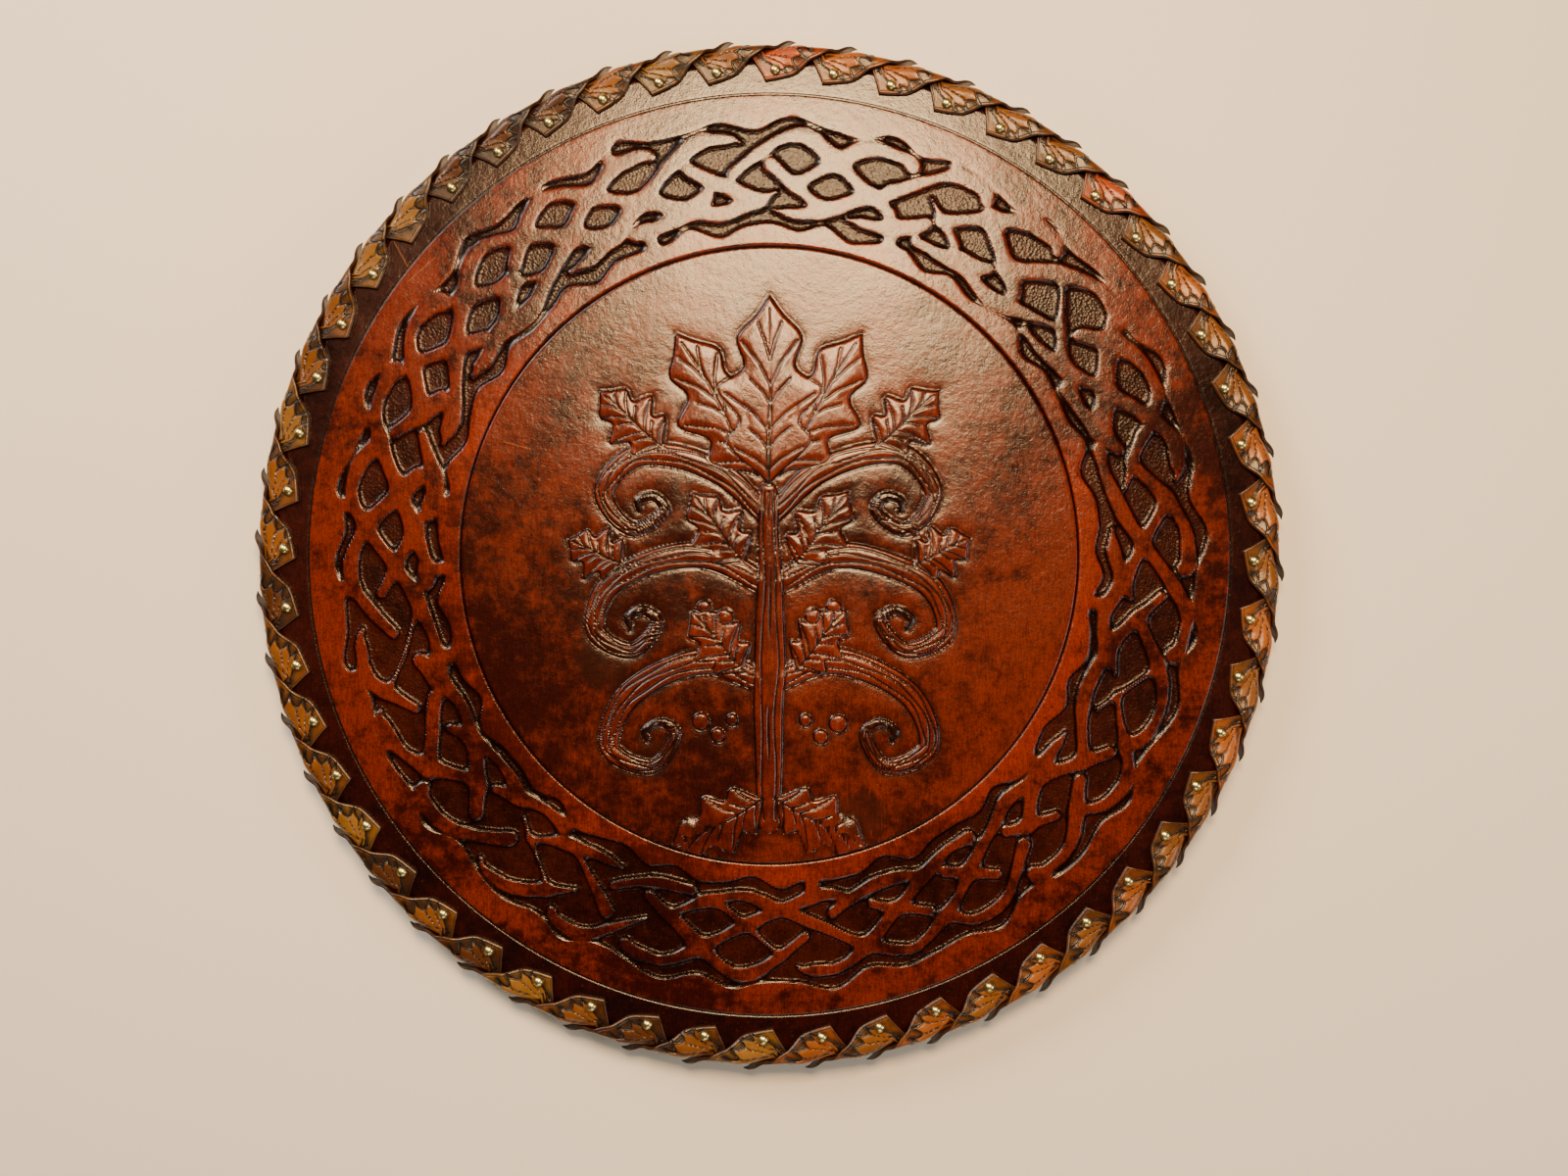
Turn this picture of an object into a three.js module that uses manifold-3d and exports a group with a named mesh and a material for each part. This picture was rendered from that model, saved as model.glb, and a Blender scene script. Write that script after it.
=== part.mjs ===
// A round wooden shield faced with tooled leather, lying on its back.
// Millimetres, +Z up out of the face, +Y to the top of the face. The origin is at the middle
// of the underside. Angles on the face run clockwise from +Y, in degrees.
import * as THREE from 'three';
import { mergeVertices } from 'three/addons/utils/BufferGeometryUtils.js';
import Module from 'manifold-3d';

// Driving dimensions
const boardRadius = 295;
const boardThickness = 18;
const plankWidth = 118;
const jointGroove = { width: 2.4, depth: 1.0 };
const facingThickness = 3;
const facingMargin = 2;
const fitGap = 0.3;
const rimGap = 0.6;
const roundSides = 52;

// Edge scales: pieces of leather folded over the rim, each lying on the next one's base
const scaleCount = 52;
const firstScale = 0.7;
const scaleLeather = 2.2;
const flapReach = 16;
const foldChamfer = 3;
const baseSlant = 16;
// The flap's edge runs out towards the rim as it nears the next scale: how far out, as a share
const flapEdge = { beforeRamp: 0.22, atNextBase: 0.52 };
const ramp = { atCorner: 12, atRim: 8.5, clearance: 0.5 };
// The horn: the narrow end of a scale, standing off the next one
const horn = { root: 9, slant: 1, length: 17, lift: 5, rootLift: 0.6, halfHeight: 2.4 };
const missingNail = 46;
const nail = { radius: 3.2, crown: 2.4, root: 1.2, sides: 5, alongScale: 6, fromCorner: 6 };

// Knotwork ring: a plait of four strands in thirty repeats, cut into the facing
const repeats = 30;
const firstPeak = 4;
const bandWidth = 7.7;
const carvingDepth = 1.1;
const knot = {
  channelOuter: 256.5, channelOuterDip: 250.5, outerArc: 248.5, innerArc: 202,
  channelInnerDip: 196.5, channelInner: 191.5,
};
const cutBack = 8.5;
const bridgeWidth = 7;
// One digit a crossing, in hexadecimal: the arms whose ends stop short of it.
// 1 is the outer left arm, 2 the outer right, 4 the inner right and 8 the inner left.
const outerCuts = '051114151445401051511504110055';
const middleCuts = '82882080882200a02a28aa0080200a';
const innerCuts = '451544500505110454101445514404';
const outerBridges = [25.5, 139.5, 243.5, 254, 265, 277, 288.5, 327, 338];
const innerBridges = [20.5, 98.5, 128.5, 172.5, 253, 267, 279, 339];

// Middle field: a leafy tree, raised a little
const treeRelief = 0.8;
const treeHeight = 313;

// Two straps across the back
const rivetRoot = 0.5;
const strap = { thickness: 2.6, width: 44, reach: 92, rivetRadius: 5, rivetHeight: 1.2, offset: 88 };

// Levels, from the underside up
const layer = scaleLeather + fitGap;
const boardBottom = 2 * layer;
const boardTop = boardBottom + boardThickness;
const facingBottom = boardTop + fitGap;
const facingTop = facingBottom + facingThickness;
const facingRadius = boardRadius - facingMargin;
const innerCornerRadius = boardRadius - flapReach;
const sinkIn = 0.6;

const wasm = await Module();
wasm.setup();

function toSolid(geometry) {
  const bare = geometry.clone();
  bare.deleteAttribute('normal');
  bare.deleteAttribute('uv');
  const merged = mergeVertices(bare, 1e-4);
  return new wasm.Manifold(new wasm.Mesh({
    numProp: 3,
    vertProperties: new Float32Array(merged.attributes.position.array),
    triVerts: new Uint32Array(merged.index.array),
  }));
}

function toGeometry(solid) {
  const mesh = solid.getMesh();
  const geometry = new THREE.BufferGeometry();
  geometry.setAttribute('position', new THREE.BufferAttribute(mesh.vertProperties, 3));
  geometry.setIndex(new THREE.BufferAttribute(mesh.triVerts, 1));
  return geometry;
}

function onFace(angle, radius) {
  const turn = THREE.MathUtils.degToRad(angle);
  return new THREE.Vector2(radius * Math.sin(turn), radius * Math.cos(turn));
}

function prism(outline, bottom, top) {
  const shape = new THREE.Shape(outline);
  const geometry = new THREE.ExtrudeGeometry(shape, { depth: top - bottom, bevelEnabled: false });
  return toSolid(geometry.translate(0, 0, bottom));
}

function ringPoints(count, radiusAt) {
  return Array.from({ length: count }, (_, i) => {
    const angle = (360 * i) / count;
    return onFace(angle, radiusAt(angle));
  });
}

function united(solids) {
  return solids.reduce((whole, solid) => whole.add(solid));
}

// A flat band along a line of points, with a blunt round end where it stops short
function bandOutline(points, halfWidths, roundStart, roundEnd) {
  const left = [];
  const right = [];
  points.forEach((point, i) => {
    const before = points[Math.max(i - 1, 0)];
    const after = points[Math.min(i + 1, points.length - 1)];
    const along = after.clone().sub(before).normalize();
    const side = new THREE.Vector2(-along.y, along.x).multiplyScalar(halfWidths[i]);
    left.push(point.clone().add(side));
    right.unshift(point.clone().sub(side));
  });
  const cap = (tip, inner, half) => {
    const out = tip.clone().sub(inner).setLength(half * 0.8);
    const side = new THREE.Vector2(-out.y, out.x).setLength(half * 0.5);
    const end = tip.clone().add(out);
    return [end.clone().add(side), end.clone().sub(side)];
  };
  const last = points.length - 1;
  const endCap = roundEnd ? cap(points[last], points[last - 1], halfWidths[last]) : [];
  const startCap = roundStart ? cap(points[0], points[1], halfWidths[0]) : [];
  return [...left, ...endCap, ...right, ...startCap];
}

// Shortens a line at its start
function trimStart(points, length) {
  const step = points[1].clone().sub(points[0]).setLength(length);
  return [points[0].clone().add(step), ...points.slice(1)];
}

// Where the straight line between two points meets the direction of an angle
function atAngle(start, end, angle) {
  const direction = onFace(angle, 1);
  const along = end.clone().sub(start);
  return start.clone().addScaledVector(along, start.cross(direction) / direction.cross(along));
}

// Two closed strands, each as its corners in turn. A strand runs straight between its turns at the
// outer and the inner edge and crosses three times on the way. before and after say whether it
// stops short on either side of a crossing, which is no corner of its line.
function closedStrand(first) {
  const step = 360 / repeats;
  const turn = step * 0.24;
  const crossing = (row, k, before, after) => {
    const digit = parseInt(row[k % repeats], 16);
    return { before: (digit & before) !== 0, after: (digit & after) !== 0 };
  };
  const corners = [];
  for (let k = first; k < first + 2 * repeats; k += 4) {
    const peak = firstPeak + k * step;
    const outerEnd = onFace(peak + turn, knot.outerArc);
    const innerStart = onFace(peak + 2 * step - turn, knot.innerArc);
    const innerEnd = onFace(peak + 2 * step + turn, knot.innerArc);
    const outerStart = onFace(peak + 4 * step - turn, knot.outerArc);
    const inward = [
      crossing(outerCuts, k, 1, 4), crossing(middleCuts, k + 1, 1, 4), crossing(innerCuts, k + 1, 1, 4),
    ];
    const outward = [
      crossing(innerCuts, k + 2, 8, 2), crossing(middleCuts, k + 3, 8, 2), crossing(outerCuts, k + 3, 8, 2),
    ];
    corners.push({ point: outerEnd });
    inward.forEach((cuts, i) => corners.push({
      point: atAngle(outerEnd, innerStart, peak + (step * (i + 1)) / 2), ...cuts,
    }));
    corners.push({ point: innerStart }, { point: innerEnd });
    outward.forEach((cuts, i) => corners.push({
      point: atAngle(innerEnd, outerStart, peak + (step * (i + 5)) / 2), ...cuts,
    }));
    corners.push({ point: outerStart });
  }
  return corners;
}

function plaitBand(line, startCut, endCut) {
  let trimmed = startCut ? trimStart(line, cutBack) : line;
  trimmed = endCut ? trimStart([...trimmed].reverse(), cutBack).reverse() : trimmed;
  const halves = trimmed.map(() => bandWidth / 2);
  const outline = bandOutline(trimmed, halves, startCut, endCut);
  return prism(outline, facingTop - carvingDepth - 1, facingTop + 1);
}

// Cuts a closed strand into its bands, one from each gap to the next
function strandBands(corners) {
  const isGap = ({ before, after }) => before || after;
  const start = corners.findIndex(isGap);
  const turned = [...corners.slice(start), ...corners.slice(0, start + 1)];
  const bands = [];
  let line = [turned[0].point];
  let startCut = turned[0].after;
  turned.slice(1).forEach((corner) => {
    if (isGap(corner)) {
      bands.push(plaitBand([...line, corner.point], startCut, corner.before));
      line = [corner.point];
      startCut = corner.after;
    } else if (corner.before === undefined) {
      line.push(corner.point);
    }
  });
  return bands;
}

function plaitBands() {
  const bands = [...strandBands(closedStrand(0)), ...strandBands(closedStrand(1))];
  const bridge = (angle, from, to) => prism(
    bandOutline([onFace(angle, from), onFace(angle, to)], [bridgeWidth / 2, bridgeWidth / 2], false, false),
    facingTop - carvingDepth - 1, facingTop + 1,
  );
  outerBridges.forEach((angle) => bands.push(bridge(angle, knot.outerArc, knot.channelOuter + 2)));
  innerBridges.forEach((angle) => bands.push(bridge(angle, knot.innerArc, knot.channelInner - 2)));
  return united(bands);
}

function carvedGround() {
  const wave = (angle) => 0.5 + 0.5 * Math.cos(THREE.MathUtils.degToRad((angle - firstPeak) * repeats));
  const outer = ringPoints(repeats * 2, (angle) => (
    knot.channelOuterDip + (knot.channelOuter - knot.channelOuterDip) * wave(angle)));
  const inner = ringPoints(repeats * 2, (angle) => (
    knot.channelInnerDip + (knot.channelInner - knot.channelInnerDip) * wave(angle)));
  return prism(outer, facingTop - carvingDepth, facingTop + 0.5)
    .subtract(prism(inner, facingTop - carvingDepth - 1, facingTop + 1))
    .subtract(plaitBands());
}

// The tree is laid out in shares of its own height, on the right side, and mirrored
const treeStem = { line: [[0, -0.5], [0, -0.2], [0, 0.12]], widths: [0.022, 0.03, 0.016] };
const treeBranches = [
  { line: [[0, -0.24], [0.13, -0.2], [0.26, -0.26], [0.3, -0.36], [0.22, -0.4], [0.18, -0.34]],
    widths: [0.02, 0.024, 0.022, 0.018, 0.014, 0.008] },
  { line: [[0, -0.06], [0.14, 0.0], [0.29, -0.05], [0.33, -0.14], [0.26, -0.18], [0.21, -0.13]],
    widths: [0.02, 0.024, 0.022, 0.018, 0.014, 0.008] },
  { line: [[0, 0.07], [0.1, 0.16], [0.24, 0.19], [0.31, 0.12], [0.26, 0.05], [0.2, 0.08]],
    widths: [0.018, 0.022, 0.02, 0.017, 0.013, 0.008] },
];
const treeLeaves = [
  { root: [0, 0.13], turn: 0, length: 0.36, width: 0.1 },
  { root: [0.02, 0.15], turn: 30, length: 0.31, width: 0.085 },
  { root: [0.05, -0.02], turn: 35, length: 0.17, width: 0.06 },
  { root: [0.2, 0.2], turn: 48, length: 0.16, width: 0.06 },
  { root: [0.27, -0.02], turn: 65, length: 0.12, width: 0.055 },
  { root: [0.05, -0.22], turn: 40, length: 0.15, width: 0.055 },
  { root: [0.01, -0.46], turn: 118, length: 0.2, width: 0.06 },
];

function curvePoints(line, count) {
  const curve = new THREE.CatmullRomCurve3(line.map(([x, y]) => new THREE.Vector3(x, y, 0)));
  return curve.getPoints(count).map((point) => new THREE.Vector2(point.x, point.y));
}

function leafOutline({ root, turn, length, width }) {
  const rows = [[0.02, 0.12], [0.22, 0.8], [0.36, 0.62], [0.5, 1], [0.64, 0.55], [0.78, 0.62], [1, 0.04]];
  const right = rows.map(([along, out]) => new THREE.Vector2(out * width, along * length));
  const left = rows.map(([along, out]) => new THREE.Vector2(-out * width, along * length)).reverse();
  return [...right, ...left].map((point) => point
    .rotateAround(new THREE.Vector2(), -THREE.MathUtils.degToRad(turn))
    .add(new THREE.Vector2(...root)));
}

function treeOfLeaves() {
  const raise = (outline) => prism(
    outline.map((point) => point.clone().multiplyScalar(treeHeight)),
    facingTop - sinkIn,
    facingTop + treeRelief,
  );
  const mirrored = (outline) => outline.map((point) => new THREE.Vector2(-point.x, point.y)).reverse();
  const branchOutline = ({ line, widths }) => {
    const points = curvePoints(line, 6);
    const halves = points.map((_, i) => {
      const at = (i / (points.length - 1)) * (widths.length - 1);
      const low = Math.min(Math.floor(at), widths.length - 2);
      return THREE.MathUtils.lerp(widths[low], widths[low + 1], at - low);
    });
    return bandOutline(points, halves, false, true);
  };
  const sides = [...treeBranches.map(branchOutline), ...treeLeaves.slice(1).map(leafOutline)];
  const middle = [branchOutline(treeStem), leafOutline(treeLeaves[0])];
  return united([...middle, ...sides, ...sides.map(mirrored)].map(raise));
}

function leatherFacing() {
  const disc = prism(ringPoints(roundSides, () => facingRadius), facingBottom, facingTop);
  return disc
    .subtract(carvedGround())
    .add(treeOfLeaves());
}

function plankBoard() {
  const disc = prism(ringPoints(roundSides, () => boardRadius), boardBottom, boardTop);
  const joints = [];
  const outermost = Math.floor(boardRadius / plankWidth - 0.5);
  for (let k = -outermost - 1; k <= outermost; k += 1) {
    const x = (k + 0.5) * plankWidth;
    const { width, depth } = jointGroove;
    const groove = new THREE.Shape([
      new THREE.Vector2(x - width / 2, -1), new THREE.Vector2(x + width / 2, -1),
      new THREE.Vector2(x + width / 2, 0), new THREE.Vector2(x, depth), new THREE.Vector2(x - width / 2, 0),
    ]);
    const geometry = new THREE.ExtrudeGeometry(groove, { depth: 2 * boardRadius + 2, bevelEnabled: false });
    geometry.rotateX(Math.PI / 2).translate(0, boardRadius + 1, boardBottom);
    joints.push(toSolid(geometry));
  }
  return disc.subtract(united(joints));
}

// Cross-sections of one scale along the rim. cornerAt and rimAt are distances along the rim to
// the flap's inner edge and to the fold, flap is the radius of the inner edge.
function scaleStations() {
  const pitch = (2 * Math.PI * (boardRadius + layer)) / scaleCount;
  const low = boardRadius + rimGap;
  const flapDepth = low - innerCornerRadius;
  const nextBase = (share) => pitch - baseSlant * share - ramp.clearance;
  const { beforeRamp, atNextBase } = flapEdge;
  return [
    { cornerAt: 0, rimAt: -baseSlant, flap: innerCornerRadius, lift: 0 },
    {
      cornerAt: nextBase(atNextBase) - ramp.atCorner, rimAt: nextBase(1) - ramp.atRim,
      flap: innerCornerRadius + beforeRamp * flapDepth, lift: 0,
    },
    {
      cornerAt: nextBase(atNextBase), rimAt: nextBase(1),
      flap: innerCornerRadius + atNextBase * flapDepth, lift: layer,
    },
    {
      cornerAt: pitch + horn.root, rimAt: pitch + horn.root + horn.slant,
      flap: low + layer + fitGap, lift: layer + horn.lift * horn.rootLift,
    },
    {
      cornerAt: pitch + horn.length, rimAt: pitch + horn.length,
      flap: low + layer + horn.lift, lift: layer + horn.lift,
    },
  ];
}

function scaleSection({ cornerAt, rimAt, flap, lift }, isTip) {
  const inside = boardRadius + rimGap + lift;
  const outside = inside + scaleLeather;
  const flapLift = Math.min(lift, layer);
  const middle = (boardBottom + facingTop) / 2;
  const front = isTip ? middle + horn.halfHeight : facingTop + fitGap + flapLift;
  const back = isTip ? middle - horn.halfHeight : boardBottom - fitGap - flapLift;
  const skin = isTip ? 0 : scaleLeather;
  const chamfer = isTip ? 0 : foldChamfer;
  const edge = isTip ? inside : flap;
  return [
    [cornerAt, edge, front], [rimAt, inside, front], [rimAt, inside, back], [cornerAt, edge, back],
    [cornerAt, edge, back - skin], [rimAt, outside, back - skin], [rimAt, outside, front + skin - chamfer],
    [rimAt, outside - chamfer, front + skin], [cornerAt, edge, front + skin],
  ];
}

// Joins the sections of a scale into one closed skin
function loftScale(startAngle) {
  const stations = scaleStations();
  const rings = stations.map((station, i) => scaleSection(station, i === stations.length - 1));
  const rim = boardRadius + layer;
  const corners = rings.flat().map(([along, radius, z]) => {
    const point = onFace(startAngle + THREE.MathUtils.radToDeg(along / rim), radius);
    return [point.x, point.y, z];
  });
  const across = rings[0].length;
  const triangles = [];
  for (let j = 0; j + 1 < rings.length; j += 1) {
    for (let i = 0; i < across; i += 1) {
      const next = (i + 1) % across;
      const [a, b, c, d] = [j * across + i, j * across + next, (j + 1) * across + next, (j + 1) * across + i];
      triangles.push([a, b, c], [a, c, d]);
    }
  }
  const lastRing = (rings.length - 1) * across;
  const capFans = [[0, 8, 7], [0, 7, 1], [1, 7, 6], [1, 6, 5], [1, 5, 2], [2, 5, 4], [2, 4, 3]];
  capFans.forEach(([a, b, c]) => {
    triangles.push([a, b, c], [lastRing + a, lastRing + c, lastRing + b]);
  });
  const geometry = new THREE.BufferGeometry();
  geometry.setAttribute('position', new THREE.Float32BufferAttribute(corners.flat(), 3));
  geometry.setIndex(triangles.flat());
  const merged = mergeVertices(geometry, 1e-4);
  const index = merged.index.array;
  const kept = [];
  for (let t = 0; t < index.length; t += 3) {
    const [a, b, c] = [index[t], index[t + 1], index[t + 2]];
    if (a !== b && b !== c && a !== c) kept.push(a, b, c);
  }
  merged.setIndex(kept);
  return merged;
}

function nailHead(angle) {
  const base = facingTop + layer;
  const profile = [
    new THREE.Vector2(0, base - nail.root), new THREE.Vector2(nail.radius, base - nail.root),
    new THREE.Vector2(nail.radius * 0.6, base + nail.crown), new THREE.Vector2(0, base + nail.crown),
  ];
  const head = new THREE.LatheGeometry(profile, nail.sides).rotateX(Math.PI / 2);
  const turn = THREE.MathUtils.radToDeg(nail.alongScale / (boardRadius + layer));
  const place = onFace(angle + turn, innerCornerRadius + nail.fromCorner);
  return toSolid(head.translate(place.x, place.y, 0));
}

function edgeScale(k) {
  const turn = THREE.MathUtils.radToDeg(nail.alongScale / (boardRadius + layer));
  const start = firstScale - turn + (360 * (k - 1)) / scaleCount;
  const solid = toSolid(loftScale(start));
  return k === missingNail ? solid : solid.add(nailHead(start));
}

function backStrap(y) {
  const top = boardBottom - fitGap;
  const half = strap.width / 2;
  const corner = half * 0.4;
  const outline = [
    [-strap.reach, -half + corner], [-strap.reach + corner, -half], [strap.reach - corner, -half],
    [strap.reach, -half + corner], [strap.reach, half - corner], [strap.reach - corner, half],
    [-strap.reach + corner, half], [-strap.reach, half - corner],
  ].map(([x, z]) => new THREE.Vector2(x, y + z));
  const band = prism(outline, top - strap.thickness, top);
  const rivets = [];
  for (const side of [-1, 1]) {
    for (const row of [-1, 1]) {
      const length = strap.rivetHeight + rivetRoot;
      const head = new THREE.CylinderGeometry(strap.rivetRadius, strap.rivetRadius * 0.7, length, 6);
      head.rotateX(Math.PI / 2).translate(
        side * (strap.reach - half * 0.5),
        y + row * half * 0.5,
        top - strap.thickness - strap.rivetHeight + length / 2,
      );
      rivets.push(toSolid(head));
    }
  }
  return band.add(united(rivets));
}

// Finishes
const wood = new THREE.MeshStandardMaterial({ color: 0x8a6a45, roughness: 0.7, metalness: 0 });
const redLeather = new THREE.MeshStandardMaterial({ color: 0x8e3312, roughness: 0.45, metalness: 0 });
const tanLeather = new THREE.MeshStandardMaterial({ color: 0xa8652a, roughness: 0.5, metalness: 0 });
const darkLeather = new THREE.MeshStandardMaterial({ color: 0x3a1c10, roughness: 0.55, metalness: 0 });

const shield = new THREE.Group();

function addPiece(name, solid, material) {
  const mesh = new THREE.Mesh(toGeometry(solid), material);
  mesh.name = name;
  shield.add(mesh);
}

addPiece('board', plankBoard(), wood);
addPiece('leather_facing', leatherFacing(), redLeather);
for (let k = 1; k <= scaleCount; k += 1) {
  addPiece(`edge_scale_${String(k).padStart(2, '0')}`, edgeScale(k), tanLeather);
}
addPiece('arm_strap', backStrap(strap.offset), darkLeather);
addPiece('hand_strap', backStrap(-strap.offset), darkLeather);

export default shield;
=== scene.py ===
import math
import random

import bpy
import numpy as np
from mathutils import Matrix, Vector


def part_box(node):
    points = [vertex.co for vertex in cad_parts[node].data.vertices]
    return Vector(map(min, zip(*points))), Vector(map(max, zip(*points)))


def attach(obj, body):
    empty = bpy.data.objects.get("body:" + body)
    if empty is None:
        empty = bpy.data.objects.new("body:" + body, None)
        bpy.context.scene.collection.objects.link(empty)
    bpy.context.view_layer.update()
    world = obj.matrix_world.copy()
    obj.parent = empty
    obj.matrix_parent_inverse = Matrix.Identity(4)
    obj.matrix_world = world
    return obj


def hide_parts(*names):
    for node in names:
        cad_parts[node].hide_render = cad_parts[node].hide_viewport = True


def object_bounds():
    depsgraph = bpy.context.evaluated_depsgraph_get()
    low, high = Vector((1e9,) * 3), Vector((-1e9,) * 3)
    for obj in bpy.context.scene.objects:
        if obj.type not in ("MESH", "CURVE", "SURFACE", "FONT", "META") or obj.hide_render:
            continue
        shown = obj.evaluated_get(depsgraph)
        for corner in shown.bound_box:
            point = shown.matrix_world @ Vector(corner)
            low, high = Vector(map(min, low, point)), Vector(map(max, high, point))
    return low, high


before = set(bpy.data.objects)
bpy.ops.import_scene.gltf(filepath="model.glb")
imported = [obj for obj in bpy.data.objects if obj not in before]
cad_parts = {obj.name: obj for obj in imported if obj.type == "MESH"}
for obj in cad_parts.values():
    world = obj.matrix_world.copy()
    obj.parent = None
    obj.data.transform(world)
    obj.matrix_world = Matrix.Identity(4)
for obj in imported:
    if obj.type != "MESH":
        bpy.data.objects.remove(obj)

cad_low, cad_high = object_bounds()
MM = 0.001

# Sizes of the pieces, as on the shield's solids
BOARD_LOW, BOARD_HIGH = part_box("board")
BOARD_RADIUS = BOARD_HIGH.x / MM
BOARD_BOTTOM = BOARD_LOW.z / MM
BOARD_TOP = BOARD_HIGH.z / MM
FIT_GAP = 0.3
RIM_GAP = 0.6
FACING_TOP = BOARD_TOP + FIT_GAP + 3.0
FACING_RADIUS = BOARD_RADIUS - 2.0
SCALE_COUNT = 52
FIRST_SCALE = 0.7
SCALE_LEATHER = 2.2
SCALE_LENGTH = 53.5
LAYER = SCALE_LEATHER + FIT_GAP
SCALE_PITCH = 2 * math.pi * (BOARD_RADIUS + LAYER) / SCALE_COUNT
HALF_DEPTH = (FACING_TOP - BOARD_BOTTOM) / 2 + FIT_GAP
FLAP_REACH = 16.0
FOLD_RADIUS = 3.4
FOLD_ALLOWANCE = 1.2
BASE_SLANT = 16.0
HORN_START = 45.0
HORN_TAPER = 8.6
HORN_LIFT = 6.5
# How far the leaf tooled on a scale rises, and how far the leather beside it sinks
LEAF_RISE, LEAF_SINK = 0.45, 0.3
# A nail stands NAIL_ALONG past its scale's inner corner, NAIL_IN out from the flap's inner edge and
# NAIL_INWARD in from the rim along the leather. One scale has lost its nail.
MISSING_NAIL = 46
NAIL_RADIUS = 3.2
NAIL_ALONG = 6.0
NAIL_IN = 6.0
NAIL_INWARD = 11.3
PLANK_WIDTH = 118.0
# The straps' corners and rivets
STRAP_CORNER = 9.0
RIVET_RISE = 1.2
RIVET_RADIUS = 5.0
RIVET_INSET = 11.0

# The knotwork's plait, as cut in the facing's solid
REPEATS = 30
FIRST_PEAK = 4.0
BAND_HALF = 4.4
CARVING_DEPTH = 1.1
CROWN = 0.14
LINE_CUT = 0.28
CHANNEL_OUTER, CHANNEL_OUTER_DIP, OUTER_ARC = 256.5, 250.5, 248.5
INNER_ARC, CHANNEL_INNER_DIP, CHANNEL_INNER = 202.0, 196.5, 191.5
CUT_BACK = 12.0
BLEND = 2.0
BAND_ENDS = (0.25, 0.8, 1.1)
# Where the bands stop, a digit for each crossing: 1 before and 4 after it on the way in, 8 before and
# 2 after it on the way out
OUTER_CUTS = "051114151445401051511504110055"
MIDDLE_CUTS = "82882080882200a02a28aa0080200a"
INNER_CUTS = "451544500505110454101445514404"
# Where short bridges of leather join the plait to the ring on either side of it, in degrees
OUTER_BRIDGES = (25.5, 139.5, 243.5, 254, 265, 277, 288.5, 327, 338)
INNER_BRIDGES = (20.5, 98.5, 128.5, 172.5, 253, 267, 279, 339)
BRIDGE_HALF = 3.5
OUTER_CIRCLE = 271.5
INNER_CIRCLE = 182.0
CIRCLE_CUTS = ((INNER_CIRCLE, 0.6), (OUTER_CIRCLE, 0.12))
# How far the drawing strays from its layout, in long sways and in short shakes
SWAY, SHAKE = 1.5, 0.7


# Points, lines and meshes
def on_face(angle, radius):
    turn = np.radians(angle)
    return np.stack([radius * np.sin(turn), radius * np.cos(turn)], axis=-1)


def smooth(low, high, value):
    t = np.clip((value - low) / (high - low), 0.0, 1.0)
    return t * t * (3.0 - 2.0 * t)


def round_corners(line, rounds=2):
    """Cuts the corners of an open line, keeping its ends."""
    points = np.array(line, float)
    for _ in range(rounds):
        near = points[:-1] * 0.75 + points[1:] * 0.25
        far = points[:-1] * 0.25 + points[1:] * 0.75
        middle = np.empty((2 * len(near), 2))
        middle[0::2], middle[1::2] = near, far
        points = np.vstack([points[:1], middle[1:-1], points[-1:]])
    return points


def inside_line(points, line, halves):
    """How far each point lies inside a band round a line, negative outside."""
    best = np.full(len(points), -1e9)
    for a, b, half_a, half_b in zip(line[:-1], line[1:], halves[:-1], halves[1:]):
        along = b - a
        length = max(float(along @ along), 1e-9)
        t = np.clip(((points - a) @ along) / length, 0.0, 1.0)
        offset = points - (a + t[:, None] * along)
        best = np.maximum(best, half_a + (half_b - half_a) * t - np.hypot(offset[:, 0], offset[:, 1]))
    return best


def put_in_scene(name, data):
    thing = bpy.data.objects.new(name, data)
    bpy.context.scene.collection.objects.link(thing)
    return thing


def new_piece(name, verts, faces, attributes=None):
    """A mesh object in metres from points in millimetres, with smooth faces and number attributes."""
    mesh = bpy.data.meshes.new(name)
    mesh.from_pydata((np.asarray(verts, float) * MM).tolist(), [], [tuple(f) for f in faces])
    for key, values in (attributes or {}).items():
        layer = mesh.attributes.new(key, "FLOAT", "POINT")
        layer.data.foreach_set("value", np.asarray(values, np.float32))
    mesh.polygons.foreach_set("use_smooth", [True] * len(mesh.polygons))
    mesh.update()
    return put_in_scene(name, mesh)


def finish_piece(piece, material, slot, *nodes):
    """Gives a piece its material, sets it on the root body and hides the solids it takes the place of."""
    piece.data.materials.clear()
    piece.data.materials.append(material)
    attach(piece, "root")
    if nodes:
        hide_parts(*nodes)


# The plait's bands
def crossing_point(start, end, angle):
    """Where the line from start to end meets the ray at an angle."""
    direction = on_face(angle, 1.0)
    along = end - start
    cross = along[0] * direction[1] - along[1] * direction[0]
    t = -(start[0] * direction[1] - start[1] * direction[0]) / cross
    return start + along * t


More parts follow.
